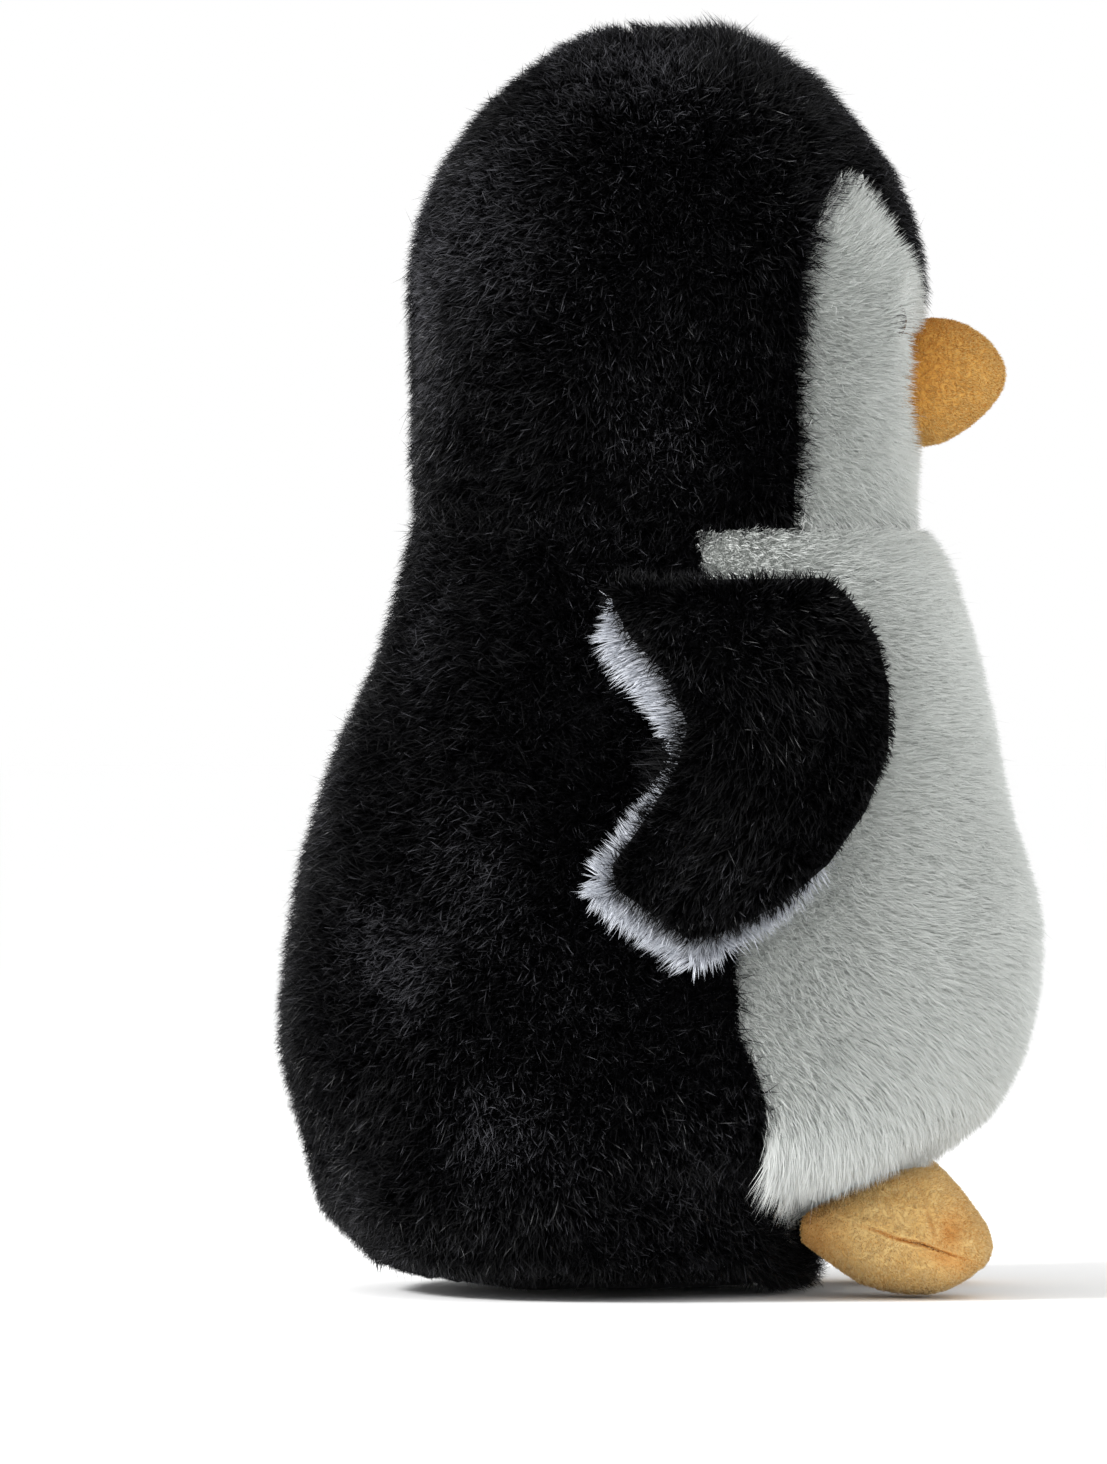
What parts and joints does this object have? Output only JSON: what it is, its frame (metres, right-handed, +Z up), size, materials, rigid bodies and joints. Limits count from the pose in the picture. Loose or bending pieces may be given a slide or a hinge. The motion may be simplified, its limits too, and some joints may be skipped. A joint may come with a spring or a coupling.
{
  "type": "plush penguin",
  "caption": "Standing stuffed penguin with a long-pile black and white coat, a short orange beak, hinged side flippers and small padded feet.",
  "frame": {"origin": "on the ground, in the middle of the toy's footprint box", "axes": "+Z up, -Y the way the penguin faces, +X its left side"},
  "size_m": [0.1288, 0.1208, 0.2007],
  "materials": {
    "black_pile": "satin",
    "white_pile": "matte",
    "orange_velour": "matte",
    "fibre_fill": "matte",
    "pouch_cloth": "matte",
    "black_plastic": "gloss",
    "washer_plastic": "satin"
  },
  "bodies": {
    "torso": {"belly_panel": "white_pile", "back_panel_left": "black_pile", "back_panel_right": "black_pile", "base_panel": "black_pile", "body_stuffing": "fibre_fill", "pellet_pouch": "pouch_cloth", "head_side_left": "black_pile", "head_side_right": "black_pile", "crown_gusset": "black_pile", "face_patch_left": "white_pile", "face_patch_right": "white_pile", "head_stuffing": "fibre_fill", "eye_left": "black_plastic", "eye_right": "black_plastic", "eye_washer_left": "washer_plastic", "eye_washer_right": "washer_plastic", "beak_left": "orange_velour", "beak_right": "orange_velour", "beak_stuffing": "fibre_fill"},
    "flipper_left": {"flipper_outer_left": "black_pile", "flipper_inner_left": "white_pile", "flipper_stuffing_left": "fibre_fill"},
    "flipper_right": {"flipper_outer_right": "black_pile", "flipper_inner_right": "white_pile", "flipper_stuffing_right": "fibre_fill"},
    "foot_left": {"foot_upper_left": "orange_velour", "foot_sole_left": "orange_velour", "foot_stuffing_left": "fibre_fill"},
    "foot_right": {"foot_upper_right": "orange_velour", "foot_sole_right": "orange_velour", "foot_stuffing_right": "fibre_fill"}
  },
  "joints": [
    {"name": "flipper_left_lift", "type": "hinge", "parent": "torso", "child": "flipper_left", "pos_m": [0.0425, -0.009, 0.1136], "axis": [0, -1, 0], "range_deg": [0, 65], "stiffness_Nm_per_rad": 0.003},
    {"name": "flipper_right_lift", "type": "hinge", "parent": "torso", "child": "flipper_right", "pos_m": [-0.0425, -0.009, 0.1136], "axis": [0, 1, 0], "range_deg": [0, 65], "stiffness_Nm_per_rad": 0.003},
    {"name": "foot_left_droop", "type": "hinge", "parent": "torso", "child": "foot_left", "pos_m": [0.023, -0.0235, 0.011], "axis": [0.9903, 0.1392, 0], "range_deg": [0, 18], "stiffness_Nm_per_rad": 0.01},
    {"name": "foot_right_droop", "type": "hinge", "parent": "torso", "child": "foot_right", "pos_m": [-0.023, -0.0235, 0.011], "axis": [0.9903, -0.1392, 0], "range_deg": [0, 18], "stiffness_Nm_per_rad": 0.01}
  ]
}
